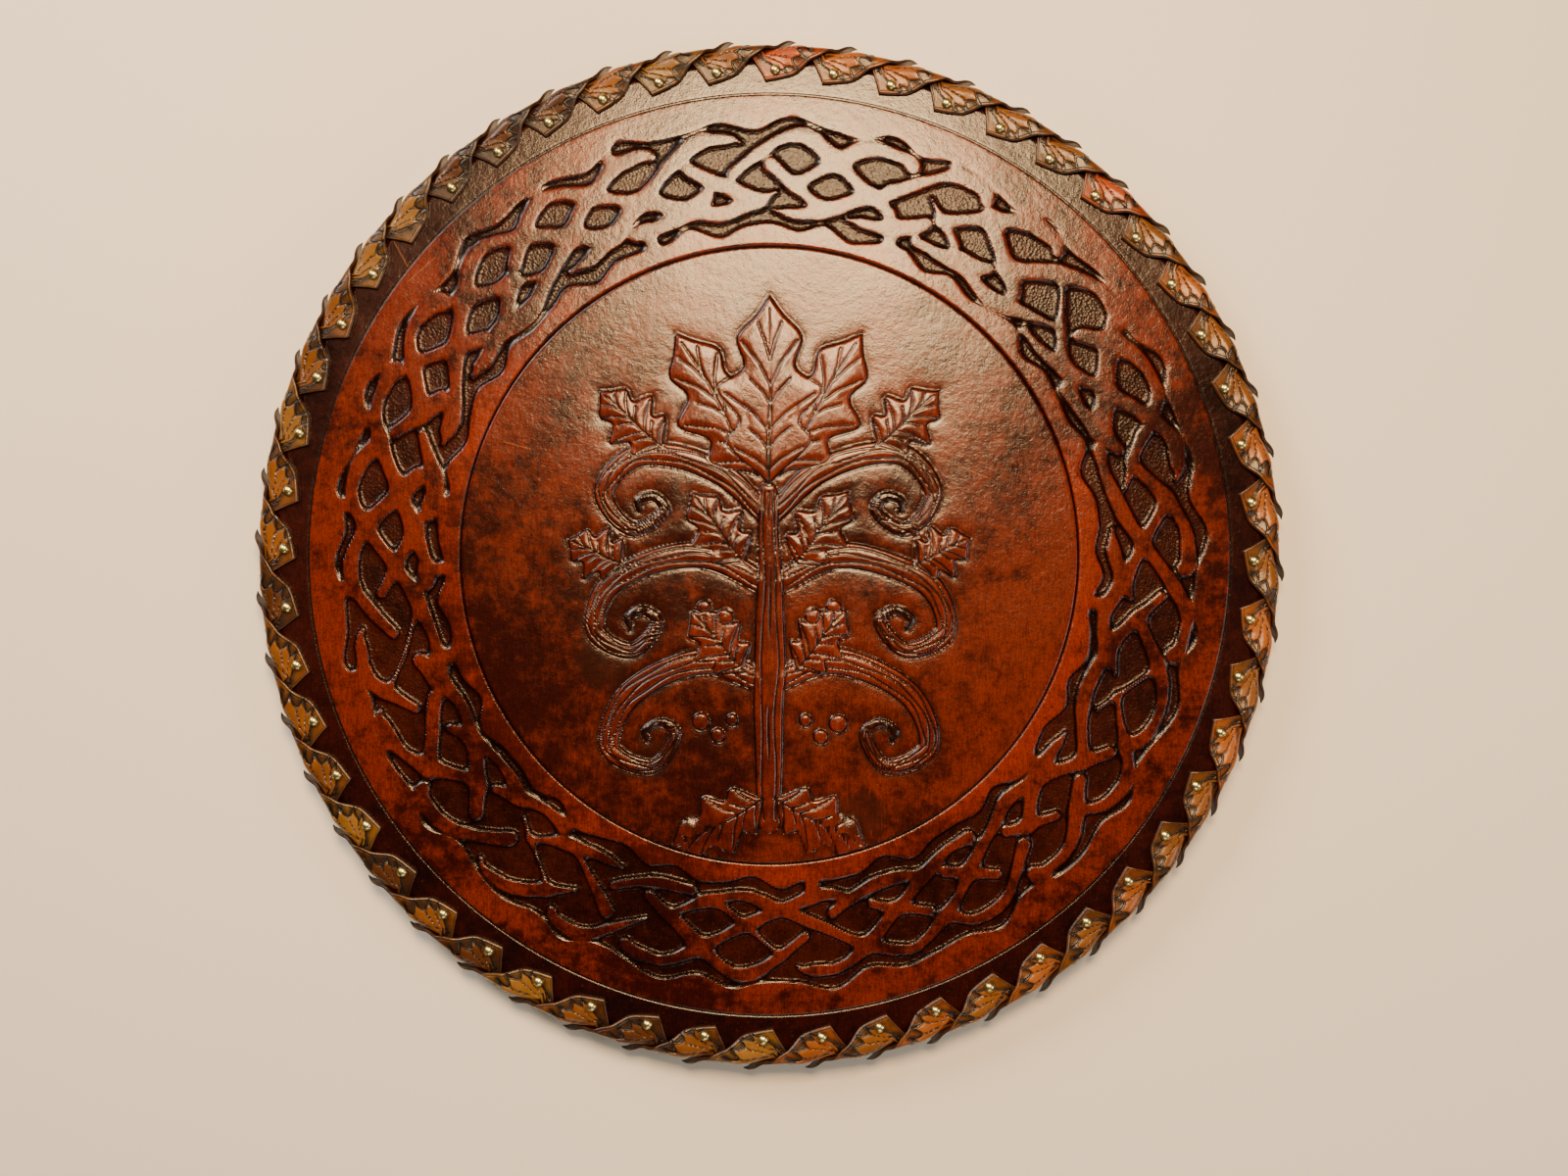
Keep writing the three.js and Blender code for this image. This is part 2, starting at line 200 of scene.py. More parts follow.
def closed_strand(first):
    """One closed strand as its corners in turn: (point, is a crossing, stops before, stops after)."""
    step = 360 / REPEATS
    turn = step * 0.24
    corners = []

    def bend(point):
        corners.append((point, False, False, False))

    def crossing(row, place, before, after, start, end, angle):
        digit = int(row[place % REPEATS], 16)
        return (crossing_point(start, end, angle), True, bool(digit & before), bool(digit & after))

    for k in range(first, first + 2 * REPEATS, 4):
        peak = FIRST_PEAK + k * step
        outer_end = on_face(peak + turn, OUTER_ARC)
        inner_start = on_face(peak + 2 * step - turn, INNER_ARC)
        inner_end = on_face(peak + 2 * step + turn, INNER_ARC)
        outer_start = on_face(peak + 4 * step - turn, OUTER_ARC)
        bend(outer_end)
        for i, (row, place) in enumerate(((OUTER_CUTS, k), (MIDDLE_CUTS, k + 1), (INNER_CUTS, k + 1))):
            angle = peak + step * (i + 1) / 2
            corners.append(crossing(row, place, 1, 4, outer_end, inner_start, angle))
        bend(inner_start)
        bend(inner_end)
        for i, (row, place) in enumerate(((INNER_CUTS, k + 2), (MIDDLE_CUTS, k + 3), (OUTER_CUTS, k + 3))):
            angle = peak + step * (i + 5) / 2
            corners.append(crossing(row, place, 8, 2, inner_end, outer_start, angle))
        bend(outer_start)
    return corners


def shorten(line, length):
    """Cuts a length off the start of a line."""
    line = [np.array(p) for p in line]
    step = line[1] - line[0]
    line[0] = line[0] + step * length / np.hypot(*step)
    return line


def plait_lines():
    """The centre line of every band of the plait, from one gap to the next."""
    lines = []
    for first in (0, 1):
        corners = closed_strand(first)
        start = next(i for i, corner in enumerate(corners) if corner[2] or corner[3])
        turned = corners[start:] + corners[:start + 1]
        line, start_cut = [turned[0][0]], turned[0][3]
        for point, is_crossing, before, after in turned[1:]:
            if before or after:
                done = line + [point]
                if start_cut:
                    done = shorten(done, CUT_BACK)
                if before:
                    done = shorten(done[::-1], CUT_BACK)[::-1]
                lines.append(round_corners(done))
                line, start_cut = [point], after
            elif not is_crossing:
                line.append(point)
    return lines


def band_halves(line, rng):
    """Half widths along one band: a little uneven, and pointed, blunt or flared at each end."""
    steps = np.hypot(*np.diff(line, axis=0).T)
    place = np.concatenate([[0.0], np.cumsum(steps)])
    middle = line[len(line) // 2]
    full = BAND_HALF * (1 + 0.16 * middle[1] / np.hypot(*middle))
    halves = full * (1 + 0.15 * np.sin(place / rng.uniform(6.0, 9.0) + rng.uniform(0, 6.3)))
    first, last = rng.choice(BAND_ENDS), rng.choice(BAND_ENDS)
    halves *= first + (1 - first) * smooth(0.0, rng.uniform(9.0, 15.0), place)
    return halves * (last + (1 - last) * smooth(0.0, rng.uniform(9.0, 15.0), place[-1] - place))


def draw_by_hand(points):
    """Shifts points a little, as a freehand drawing strays from its layout."""
    x, y = points[:, 0], points[:, 1]
    shift_x = SWAY * np.sin(x / 19.0 + 1.3 * np.sin(y / 23.0)) + SHAKE * np.sin(y / 8.5 + x / 31.0)
    shift_y = SWAY * np.sin(y / 17.0 + 1.1 * np.sin(x / 27.0)) + SHAKE * np.sin(x / 9.5 - y / 29.0)
    return points + np.column_stack([shift_x, shift_y])


def knot_depth(points):
    """How far each point lies inside the raised leather of the knotwork ring, negative in its ground."""
    radius = np.hypot(points[:, 0], points[:, 1])
    angle = np.degrees(np.arctan2(points[:, 0], points[:, 1]))
    uneven = 1.2 * np.sin(np.radians(angle * 17 + 40)) + 0.9 * np.sin(np.radians(angle * 47))
    wave = 0.5 + 0.5 * np.cos(np.radians((angle - FIRST_PEAK) * REPEATS))
    outer_edge = CHANNEL_OUTER_DIP + (CHANNEL_OUTER - CHANNEL_OUTER_DIP) * wave + uneven
    inner_edge = CHANNEL_INNER_DIP + (CHANNEL_INNER - CHANNEL_INNER_DIP) * wave + uneven
    points = draw_by_hand(points)
    total = np.exp((radius - outer_edge) / BLEND) + np.exp((inner_edge - radius) / BLEND)
    rng = random.Random(11)
    bands = [(line, band_halves(line, rng)) for line in plait_lines()]
    bridges = ((OUTER_BRIDGES, (OUTER_ARC, CHANNEL_OUTER + 3)),
               (INNER_BRIDGES, (INNER_ARC, CHANNEL_INNER - 3)))
    for angles, ends in bridges:
        bands += [(on_face(np.array([a, a]), np.array(ends)), [BRIDGE_HALF] * 2) for a in angles]
    reach = 18.0
    for line, halves in bands:
        low, high = line.min(0) - reach, line.max(0) + reach
        near = np.nonzero(((points >= low) & (points <= high)).all(1))[0]
        total[near] += np.exp(inside_line(points[near], line, halves) / BLEND)
    return np.clip(BLEND * np.log(total), -9.0, 9.0)


# The tree in the middle, in shares of its height
TREE_HEIGHT = 313.0
TREE_RISE = 0.8
STEM = (((0, -0.5), (0, -0.2), (0, 0.12)), (0.022, 0.03, 0.016))
BRANCHES = (
    (((0, -0.24), (0.13, -0.2), (0.26, -0.26), (0.3, -0.36), (0.22, -0.4), (0.18, -0.34), (0.205, -0.315),
      (0.235, -0.33), (0.23, -0.35)), (0.02, 0.024, 0.022, 0.018, 0.014, 0.011, 0.008, 0.007, 0.004)),
    (((0, -0.06), (0.14, 0.0), (0.29, -0.05), (0.33, -0.14), (0.26, -0.18), (0.21, -0.13), (0.235, -0.105),
      (0.265, -0.12), (0.26, -0.14)), (0.02, 0.024, 0.022, 0.018, 0.014, 0.011, 0.008, 0.007, 0.004)),
    (((0, 0.07), (0.1, 0.16), (0.24, 0.19), (0.31, 0.12), (0.26, 0.05), (0.2, 0.08), (0.215, 0.11),
      (0.245, 0.105), (0.245, 0.085)), (0.018, 0.022, 0.02, 0.017, 0.013, 0.01, 0.008, 0.007, 0.004)),
)
# Each berry: its middle and its radius
BERRIES = (((0.085, -0.12), 0.017), ((0.122, -0.1), 0.014), ((0.1, 0.05), 0.016), ((0.135, 0.07), 0.013),
           ((0.13, -0.315), 0.017), ((0.098, -0.34), 0.014), ((0.07, -0.31), 0.012))
# Each leaf: where its stalk starts, its turn from upright, its length and its half width
LEAVES = (
    ((0, 0.13), 0, 0.36, 0.1),
    ((0.02, 0.15), 30, 0.31, 0.085),
    ((0.05, -0.02), 35, 0.17, 0.06),
    ((0.2, 0.2), 48, 0.16, 0.06),
    ((0.27, -0.02), 65, 0.12, 0.055),
    ((0.05, -0.22), 40, 0.15, 0.055),
    ((0.01, -0.46), 118, 0.2, 0.06),
)
# A leaf's edge from its stalk to its tip: how far along, and how wide there
LEAF_ROWS = ((0.0, 0.02), (0.05, 0.14), (0.22, 0.8), (0.34, 0.56), (0.5, 1.0), (0.62, 0.5),
             (0.78, 0.62), (0.9, 0.26), (1.0, 0.0))
# Its side veins: where each leaves the middle vein, where it ends, and how far out
LEAF_VEINS = ((0.08, 0.2, 0.66), (0.18, 0.3, 0.4), (0.28, 0.48, 0.86), (0.42, 0.56, 0.4),
              (0.52, 0.76, 0.54), (0.66, 0.86, 0.24))
# Where the cuts in the bark run, as shares of the half width
BARK_LINES = (-0.5, 0.05, 0.55)


def through_points(line, per_step):
    """A smooth curve through points."""
    line = np.array(line, float)
    padded = np.vstack([2 * line[0] - line[1], line, 2 * line[-1] - line[-2]])
    t = np.linspace(0, 1, per_step, endpoint=False)[:, None]
    pieces = []
    for a, b, c, d in zip(padded, padded[1:], padded[2:], padded[3:]):
        pieces.append(0.5 * (2 * b + (c - a) * t + (2 * a - 5 * b + 4 * c - d) * t ** 2
                             + (3 * b - a - 3 * c + d) * t ** 3))
    return np.vstack(pieces + [line[-1:]])


def inside_outline(points, outline):
    """How far each point lies inside a closed outline, negative outside."""
    best = np.full(len(points), 1e9)
    inside = np.zeros(len(points), bool)
    for a, b in zip(outline, np.roll(outline, -1, axis=0)):
        along = b - a
        t = np.clip(((points - a) @ along) / max(float(along @ along), 1e-9), 0, 1)
        offset = points - (a + t[:, None] * along)
        best = np.minimum(best, np.hypot(offset[:, 0], offset[:, 1]))
        if abs(along[1]) > 1e-9:
            at = a[0] + along[0] * (points[:, 1] - a[1]) / along[1]
            inside ^= ((a[1] > points[:, 1]) != (b[1] > points[:, 1])) & (points[:, 0] < at)
    return np.where(inside, best, -best)


def leaf_parts(leaf):
    """A leaf's outline and its vein lines, in millimetres on the face."""
    root, turn, length, half = leaf
    angle = math.radians(turn)
    along = np.array([math.sin(angle), math.cos(angle)])
    out = np.array([math.cos(angle), -math.sin(angle)])

    def place(rows):
        rows = np.array(rows, float)
        return (np.array(root) + rows[:, :1] * length * along + rows[:, 1:] * half * out) * TREE_HEIGHT

    edge = through_points(LEAF_ROWS, 7)
    other = edge[::-1] * (1, -1)
    veins = [place(((-0.03, 0), (0.3, 0.03), (0.62, -0.03), (0.93, 0)))]
    for start, end, reach in LEAF_VEINS:
        for side in (-1, 1):
            veins.append(place(((start, 0), ((start + end) / 2, side * reach * 0.38), (end, side * reach))))
    return place(np.vstack([edge, other[1:-1]])), veins


def tree_depth(points):
    """How far each point lies inside the tree, and from the nearest line cut for it."""
    points = points + 0.35 * (draw_by_hand(points) - points)
    folded = np.column_stack([np.abs(points[:, 0]), points[:, 1]])
    depth = np.full(len(points), -30.0)
    line = np.full(len(points), 30.0)

    def lay(near, inside, cuts=()):
        """Lays one more shape over what is drawn already."""
        own = np.abs(inside)
        for cut in cuts:
            away = -inside_line(folded[near], cut, [0.0] * len(cut))
            own = np.where(inside > 0, np.minimum(own, away), own)
        line[near] = np.where(inside > 0, own, np.minimum(line[near], own))
        depth[near] = np.maximum(depth[near], inside)

    def around(shape):
        return np.nonzero(((folded > shape.min(0) - 12) & (folded < shape.max(0) + 12)).all(1))[0]

    for corners, widths in BRANCHES + (STEM,):
        curve = through_points(corners, 9)
        halves = np.interp(np.linspace(0, 1, len(curve)), np.linspace(0, 1, len(widths)), widths)
        curve = curve * TREE_HEIGHT
        near = around(curve)
        inside = inside_line(folded[near], curve, halves * TREE_HEIGHT)
        heading = np.gradient(curve, axis=0)
        heading /= np.hypot(heading[:, 0], heading[:, 1])[:, None]
        out = np.column_stack([-heading[:, 1], heading[:, 0]])
        bark = []
        for side in BARK_LINES:
            ripple = 0.09 * np.sin(np.arange(len(curve)) * 0.9 + side * 7)
            bark.append(curve + out * ((side + ripple) * halves * TREE_HEIGHT)[:, None])
        lay(near, inside, bark)
    for middle, size in BERRIES:
        middle = np.array([middle]) * TREE_HEIGHT
        size = size * TREE_HEIGHT
        near = np.nonzero(((folded > middle - 18) & (folded < middle + 18)).all(1))[0]
        away = np.hypot(*(folded[near] - middle).T)
        lay(near, size - away)
    for leaf in LEAVES[::-1]:
        outline, veins = leaf_parts(leaf)
        near = around(outline)
        lay(near, inside_outline(folded[near], outline), veins)
    return depth, line


# The facing: a disc of rings, finer where it is carved
def ring_rows(*spans):
    """Ring radii from the middle out, each with its number of points: (start, end, spacing, points)."""
    rows = []
    for start, end, spacing, count in spans:
        steps = max(1, round((end - start) / spacing))
        rows.extend((start + (end - start) * i / steps, count) for i in range(steps))
    return rows + [(spans[-1][1], spans[-1][3])]


def facing_height(points, knot, tree, line):
    """The level of the carved leather at each point."""
    radius = np.hypot(points[:, 0], points[:, 1])
    angle = np.arctan2(points[:, 0], points[:, 1])
    height = np.full(len(points), FACING_TOP)
    height -= CARVING_DEPTH * (1 - smooth(-1.0, 0.5, knot))
    height += CROWN * smooth(0.3, 2.4, knot) - CROWN
    height += (TREE_RISE + 0.3) * smooth(-0.9, 1.2, tree) + 0.6 * smooth(0.8, 9.0, tree)
    height -= 0.4 * np.exp(-np.clip(-tree, 0, None) / 3.5) * (tree < 0)
    height -= LINE_CUT * np.exp(-line ** 2) * (radius < INNER_CIRCLE - 2)
    for circle, depth in CIRCLE_CUTS:
        height -= depth * np.exp(-((radius - circle) / 0.8) ** 2)
    height += 0.12 * np.sin(angle * 5 + radius / 31) * np.sin(radius / 23)
    return height


def leather_disc(name, rows, is_ring):
    """A round of the facing, finer where it is carved, closed down to its underside."""
    points, starts = [], []
    total = 0
    for radius, count in rows:
        starts.append(total)
        points.append(on_face(np.arange(count) * 360.0 / count, radius))
        total += count
    flat = np.vstack(points)
    if is_ring:
        knot, tree = knot_depth(flat), np.full(total, -30.0)
        line = np.abs(knot - 0.1)
    else:
        knot = np.full(total, 9.0)
        tree, line = tree_depth(flat)
    height = facing_height(flat, knot, tree, line)
    faces = []
    for j in range(len(rows) - 1):
        a, b = starts[j], starts[j + 1]
        n, m = rows[j][1], rows[j + 1][1]
        if n == m:
            faces += [(a + i, a + (i + 1) % n, b + (i + 1) % n, b + i) for i in range(n)]
        else:
            for i in range(n):
                o, p, q = b + 2 * i, b + 2 * i + 1, b + (2 * i + 2) % m
                faces += [(a + i, p, o), (a + i, a + (i + 1) % n, p), (a + (i + 1) % n, q, p)]
    bottom = BOARD_TOP + FIT_GAP
    n, m = rows[0][1], rows[-1][1]
    outer, inner = starts[-1], total + m
    verts = np.vstack([np.column_stack([flat, height]), np.column_stack([flat[outer:], np.full(m, bottom)]),
                       np.column_stack([flat[:n], np.full(n, bottom)])])
    low = total
    faces += [(outer + i, outer + (i + 1) % m, low + (i + 1) % m, low + i) for i in range(m)]
    if is_ring:
        faces += [((i + 1) % n, i, inner + i, inner + (i + 1) % n) for i in range(n)]
        faces += [(low + i, low + (i + 1) % m, inner + (i + 1) % m, inner + i) for i in range(m)]
    else:
        verts = verts[:inner]
        faces += [tuple(range(n)), tuple(low + i for i in reversed(range(m)))]
    spare = len(verts) - total
    masks = (("knot", knot, 9.0), ("tree", tree, -30.0), ("cut", line, 30.0))
    piece = new_piece(name, verts, faces, {mask: np.append(values, np.full(spare, beyond))
                                           for mask, values, beyond in masks})
    face_outward(piece)
    return piece


def deselect():
    bpy.ops.object.select_all(action="DESELECT")


def face_outward(piece):
    deselect()
    piece.select_set(True)
    bpy.context.view_layer.objects.active = piece
    bpy.ops.object.mode_set(mode="EDIT")
    bpy.ops.mesh.select_all(action="SELECT")
    bpy.ops.mesh.normals_make_consistent(inside=False)
    bpy.ops.object.mode_set(mode="OBJECT")


def make_facing():
    field = leather_disc("leather_facing_field", ring_rows(
        (1.5, 8, 1.3, 60), (8, 20, 1.3, 120), (20, 42, 1.3, 240), (42, 90, 1.2, 480),
        (90, 158, 1.06, 960), (158, 179, 3.0, 960), (179, INNER_CIRCLE, 0.75, 960)), False)
    ring = leather_disc("leather_facing_ring", ring_rows(
        (INNER_CIRCLE, 185, 0.75, 960), (185, 190, 1.6, 960), (190, 258.6, 1.12, 960), (258.6, 269, 3.0, 960),
        (269, 274, 0.9, 960), (274, FACING_RADIUS, 5.0, 960)), True)
    return field, ring


# The edge scales
def flap_edge(along):
    """The radius of a scale's inner edge, at a distance along the rim from its corner."""
    steps = np.array([0, 5, 10, 15, 20, 25, 29, 32, 35, 38, 41, 44, 48, SCALE_LENGTH])
    inner = BOARD_RADIUS - FLAP_REACH
    radii = inner + np.array([0, 0.8, 1.8, 3.1, 4.8, 6.8, 8.7, 10.4, 12.6, 15.2, 17.6, 19.6, 21.4, 22.6])
    return np.interp(along, steps, radii)


def scale_shape(across, along):
    """A point of the scale's middle surface, from its place in the leaf as cut: across from the rim's
    middle line, along the rim from the inner corner. Returns the radius, the level and the outward
    direction in the section."""
    middle = (BOARD_BOTTOM + FACING_TOP) / 2
    share = np.clip((np.abs(across) - HALF_DEPTH) / FLAP_REACH, 0, 1)
    next_base = SCALE_PITCH - BASE_SLANT * (1 - share)
    lift = LAYER * smooth(next_base - 17.0, next_base - 0.5, along)
    horn = smooth(SCALE_PITCH + 4.0, SCALE_PITCH + 16.0, along)
    rim = BOARD_RADIUS + RIM_GAP + SCALE_LEATHER / 2 + lift + HORN_LIFT * horn
    level = HALF_DEPTH + SCALE_LEATHER / 2 + lift
    side = np.sign(across)
    reach = np.abs(across)
    straight = level - FOLD_RADIUS
    arc = FOLD_RADIUS * math.pi / 2
    on_rim = reach < straight
    on_fold = (~on_rim) & (reach < straight + arc)
    turn = np.clip((reach - straight) / FOLD_RADIUS, 0, math.pi / 2)
    radius = np.where(on_rim, rim, rim - FOLD_RADIUS + FOLD_RADIUS * np.cos(turn))
    z = np.where(on_rim, reach, straight + FOLD_RADIUS * np.sin(turn))
    over = np.clip(reach - straight - arc, 0, None)
    radius = np.where(on_rim | on_fold, radius, rim - FOLD_RADIUS - over)
    return radius, middle + side * z, np.cos(turn), np.sin(turn) * side


# The leaf tooled on each scale: lobes fanning from its outer corner, as points (along, in from the
# fold) and half widths
LOBES = (
    (((-5, 4.5), (3, 7.0), (9.5, 10.0), (14.0, 14.4)), (0.6, 1.7, 2.2, 0.1)),
    (((-4, 3.0), (6, 4.9), (14.5, 8.0), (20.0, 12.6)), (0.7, 2.0, 2.4, 0.1)),
    (((-3, 1.6), (8, 2.7), (18.0, 5.2), (25.5, 9.8)), (0.7, 2.0, 2.5, 0.1)),
    (((-3, 0.2), (10, 0.2), (20.5, 1.8), (28.5, 5.6)), (0.7, 2.0, 2.4, 0.1)),
    (((-3, -1.4), (11, -2.2), (21.0, -1.8), (29.5, 1.2)), (0.7, 2.0, 2.3, 0.1)),
    (((-3, -3.0), (10, -4.8), (20.0, -5.4), (28.0, -3.6)), (0.7, 2.0, 2.3, 0.1)),
    (((-3, -4.6), (9, -7.6), (17.0, -9.2), (25.0, -8.6)), (0.7, 2.0, 2.3, 0.1)),
)


def scale_tooling(along, inward):
    """How far a point lies inside the tooled leaf, and from the cut between two of its lobes."""
    points = np.column_stack([along, inward])
    best = np.full(len(points), -20.0)
    second = np.full(len(points), -20.0)
    for line, halves in LOBES:
        curve = round_corners(line, 3)
        widths = np.interp(np.linspace(0, 1, len(curve)), np.linspace(0, 1, len(halves)), halves)
        inside = inside_line(points, curve, widths)
        second = np.maximum(second, np.minimum(best, inside))
        best = np.maximum(best, inside)
    between = np.where(second > -1.0, best - second, 9.0)
    return best, between


def nail_angle(index):
    """Where a scale's nail stands on the face."""
    return FIRST_SCALE + 360.0 * (index - 1) / SCALE_COUNT


def scale_width(along, stretch):
    """How far a scale reaches over the face and the back from the rim's middle line."""
    if along < 0:
        return (HALF_DEPTH + FLAP_REACH + FOLD_ALLOWANCE) * (along + BASE_SLANT + 0.6) / (BASE_SLANT + 0.6)
    width = HALF_DEPTH + (BOARD_RADIUS + RIM_GAP - flap_edge(along * stretch)) + FOLD_ALLOWANCE
    return max(width * (1 - 0.97 * max((along - HORN_START) / HORN_TAPER, 0.0) ** 1.6), 0.6)


def make_scale(index):
    """One scale as a shell of leather, with the tooled leaf raised on its outer side."""
    rows = np.concatenate([np.linspace(-BASE_SLANT, 0, 8)[:-1], np.linspace(0, SCALE_LENGTH, 42)])
    rng = random.Random(100 + index)
    stretch = 1 + rng.uniform(-0.04, 0.04)
    front = 1 - (1 - np.linspace(0, 1, 22)) ** 0.9
    share = np.concatenate([-np.linspace(1, 0, 14)[:-1], front])
    columns = len(share)
    grid, margin = [], []
    for along in rows:
        width = scale_width(along, stretch)
        grid.append(np.column_stack([share * width, np.full(columns, along)]))
        slant = (along + BASE_SLANT) * 0.7 + np.abs(1 - share) * width * 0.7
        margin.append(np.minimum((1 - np.abs(share)) * width, slant))
    flat = np.vstack(grid)
    run = flat[:, 1]
    radius, z, out_r, out_z = scale_shape(flat[:, 0], run)
    inward = flat[:, 0] - HALF_DEPTH
    shift_along, shift_in = rng.uniform(-1.2, 1.2), rng.uniform(-0.8, 0.8)
    tool, vein = scale_tooling(run * rng.uniform(0.93, 1.08) + shift_along,
                               inward * rng.uniform(0.92, 1.12) + shift_in)
    rise = LEAF_RISE * smooth(-0.6, 0.5, tool)
    rise -= LEAF_SINK * np.exp(-np.clip(-tool, 0, None) / 1.6) * (tool < 0)
    rise -= LEAF_SINK * np.exp(-(vein / 0.7) ** 2) * smooth(-0.2, 0.6, tool)
    shell = []
    thin = 1 - 0.75 * smooth(HORN_START, SCALE_LENGTH, run)
    for offset in (SCALE_LEATHER / 2, -SCALE_LEATHER / 2):
        top = offset * thin + (rise - LEAF_SINK if offset > 0 else 0.0)
        shell.append(np.column_stack([run, radius + out_r * top, z + out_z * top]))
    both = np.vstack(shell)
    angle = nail_angle(index) + np.degrees((both[:, 0] - NAIL_ALONG) / (BOARD_RADIUS + LAYER))
    verts = np.column_stack([on_face(angle, both[:, 1]), both[:, 2]])
    n, m = len(rows), columns
    base = n * m
    faces = []
    for j in range(n - 1):
        for i in range(m - 1):
            a = j * m + i
            faces.append((a, a + 1, a + m + 1, a + m))
            faces.append((base + a, base + a + m, base + a + m + 1, base + a + 1))
    edge = [j * m for j in range(n)] + [(n - 1) * m + i for i in range(1, m)]
    edge += [j * m + m - 1 for j in range(n - 2, -1, -1)] + [i for i in range(m - 2, 0, -1)]
    for a, b in zip(edge, edge[1:] + edge[:1]):
        faces.append((a, b, base + b, base + a))
    # A mask for the dark cut edges, and for the whole underside: the edges partly dyed and partly painted
    # shadow under the lifted leather, the underside painted shade.
    edge_and_shade = np.zeros(base)
    edge_and_shade[edge] = 1.0
    attributes = {
        "tool": np.append(tool, np.full(base, -9.0)),
        "vein": np.append(vein, np.full(base, 9.0)),
        "edge_and_underside_shade": np.append(edge_and_shade, np.ones(base)),
        "along": np.tile(run, 2),
        "inward": np.tile(inward, 2),
        "margin": np.append(margin, np.zeros(base)),
    }
    piece = new_piece(f"edge_scale_{index:02d}_leather", verts, faces, attributes)
    face_outward(piece)
    return piece


# Nails
def make_nail_pattern():
    deselect()
    bpy.ops.mesh.primitive_uv_sphere_add(segments=20, ring_count=12, radius=NAIL_RADIUS * MM)
    nail = bpy.context.object
    bpy.ops.object.mode_set(mode="EDIT")
    bpy.ops.mesh.select_all(action="SELECT")
    bpy.ops.mesh.bisect(plane_co=(0, 0, -0.2 * NAIL_RADIUS * MM), plane_no=(0, 0, 1), use_fill=True,
                        clear_inner=True)
    bpy.ops.mesh.select_all(action="SELECT")
    bpy.ops.transform.resize(value=(1, 1, 0.8))
    bpy.ops.object.mode_set(mode="OBJECT")
    nail.data.polygons.foreach_set("use_smooth", [len(f.vertices) < 5 for f in nail.data.polygons])
    return nail


def make_nails(material):
    pattern = make_nail_pattern()
    for index in range(1, SCALE_COUNT + 1):
        if index == MISSING_NAIL:
            continue
        x, y = on_face(nail_angle(index), BOARD_RADIUS - FLAP_REACH + NAIL_IN)
        nail = put_in_scene(f"nail_{index:02d}", pattern.data.copy())
        nail.data.transform(Matrix.Translation(
            Vector((x * MM, y * MM, (FACING_TOP + LAYER + 0.1) * MM))))
        finish_piece(nail, material, "brass")
    bpy.data.objects.remove(pattern)


# Shader nodes in short
def add_node(tree, kind, inputs=None, **settings):
    node = tree.nodes.new(kind)
    for key, value in settings.items():
        setattr(node, key, value)
    for key, value in (inputs or {}).items():
        socket = node.inputs[key]
        if isinstance(value, bpy.types.NodeSocket):
            tree.links.new(value, socket)
        else:
            socket.default_value = value
    return node


def vector(tree, operation, a, b=(0, 0, 0), output="Vector"):
    return add_node(tree, "ShaderNodeVectorMath", {0: a, 1: b}, operation=operation).outputs[output]


def calc(tree, operation, a, b=0.0, clamp=False):
    return add_node(tree, "ShaderNodeMath", {0: a, 1: b}, operation=operation, use_clamp=clamp).outputs[0]


def times(tree, a, b):
    return calc(tree, "MULTIPLY", a, b)


def plus(tree, a, b):
    return calc(tree, "ADD", a, b)


def less(tree, a, b):
    return calc(tree, "SUBTRACT", a, b)


def larger(tree, a, b):
    return calc(tree, "MAXIMUM", a, b)


def ramp_between(tree, value, low, high):
    """0 below the low value, rising to 1 at the high one."""
    node = add_node(tree, "ShaderNodeMapRange", {"Value": value, "From Min": low, "From Max": high},
                    interpolation_type="SMOOTHSTEP")
    return node.outputs["Result"]


def blend_colour(tree, share, a, b, mode="MIX"):
    node = add_node(tree, "ShaderNodeMix", {}, data_type="RGBA", blend_type=mode)
    for socket, value in ((node.inputs[0], share), (node.inputs[6], a), (node.inputs[7], b)):
        if isinstance(value, bpy.types.NodeSocket):
            tree.links.new(value, socket)
        else:
            socket.default_value = value
    return node.outputs[2]


def mix_in_colour(tree, colour, mask, strength, shade, mode="MIX"):
    """A colour with a shade worked into it where a mask is 1, used for real marks and for painted shade
    alike.
    """
    return blend_colour(tree, times(tree, mask, strength), colour, (*shade[:3], 1), mode)


def noise(tree, place, scale, detail=4.0, rough=0.55):
    return add_node(tree, "ShaderNodeTexNoise", {
        "Vector": place, "Scale": scale, "Detail": detail, "Roughness": rough}).outputs["Fac"]


def number_of(tree, name):
    return add_node(tree, "ShaderNodeAttribute", attribute_name=name).outputs["Fac"]


